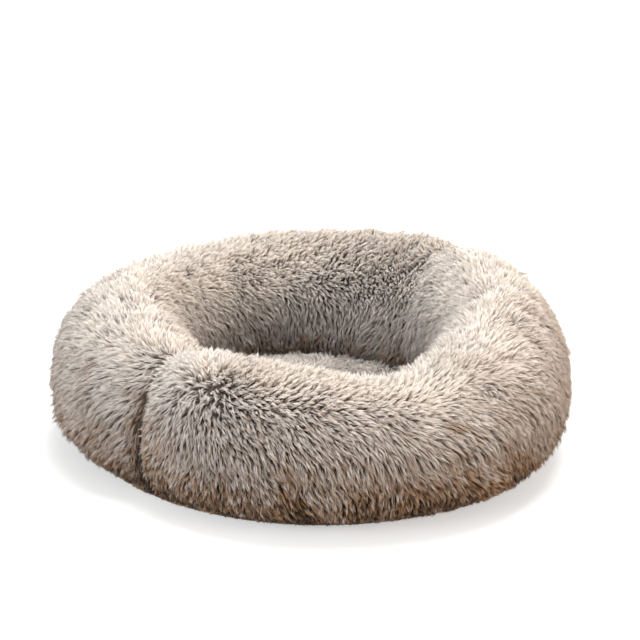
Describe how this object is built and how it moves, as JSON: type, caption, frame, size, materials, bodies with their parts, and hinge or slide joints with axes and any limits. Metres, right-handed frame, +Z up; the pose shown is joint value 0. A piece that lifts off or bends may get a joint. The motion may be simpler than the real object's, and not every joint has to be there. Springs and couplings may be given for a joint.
{
  "type": "donut pet bed",
  "caption": "Round plush pet bed: a stuffed ring bolster of long frosted fur round a crowned floor cushion, on a zipped cloth base with grip dots.",
  "frame": {"origin": "centre of the bed's bounding box on the floor plane, under the feet of the grip dots", "axes": "+Z up out of the well, -Y towards the low front rim, +X to the right as seen from the front and along the zip's closing direction"},
  "size_m": [0.5983, 0.5976, 0.2023],
  "materials": {
    "frosted_fur": "matte",
    "well_fur": "matte",
    "nonwoven_lining": "matte",
    "polyester_fibre": "matte",
    "oxford_cloth": "matte",
    "zip_tape_taupe": "matte",
    "zip_metal_grey": "satin"
  },
  "bodies": {
    "bed": {"bolster_cover_front": "frosted_fur", "bolster_cover_rear": "frosted_fur", "bolster_liner": "nonwoven_lining", "bolster_fill": "polyester_fibre", "well_cover": "well_fur", "centre_liner": "nonwoven_lining", "centre_fill": "polyester_fibre", "base_panel_front": "oxford_cloth", "base_panel_rear": "oxford_cloth", "zip_tape_front": "zip_tape_taupe", "zip_tape_rear": "zip_tape_taupe", "zip_bottom_stop": "zip_metal_grey", "zip_top_stop_front": "zip_metal_grey", "zip_top_stop_rear": "zip_metal_grey"},
    "slider": {"zip_slider": "zip_metal_grey"},
    "pull": {"zip_pull": "zip_metal_grey"}
  },
  "joints": [
    {"name": "zip_slide", "type": "slide", "parent": "bed", "child": "slider", "axis": [-1, 0, 0], "range_m": [0, 0.2819], "deforming": ["zip_tape_front", "zip_tape_rear"]},
    {"name": "pull_hinge", "type": "hinge", "parent": "slider", "child": "pull", "pos_m": [0.14145, 0, 0.0035], "axis": [0, -1, 0], "range_deg": [0, 170]}
  ]
}
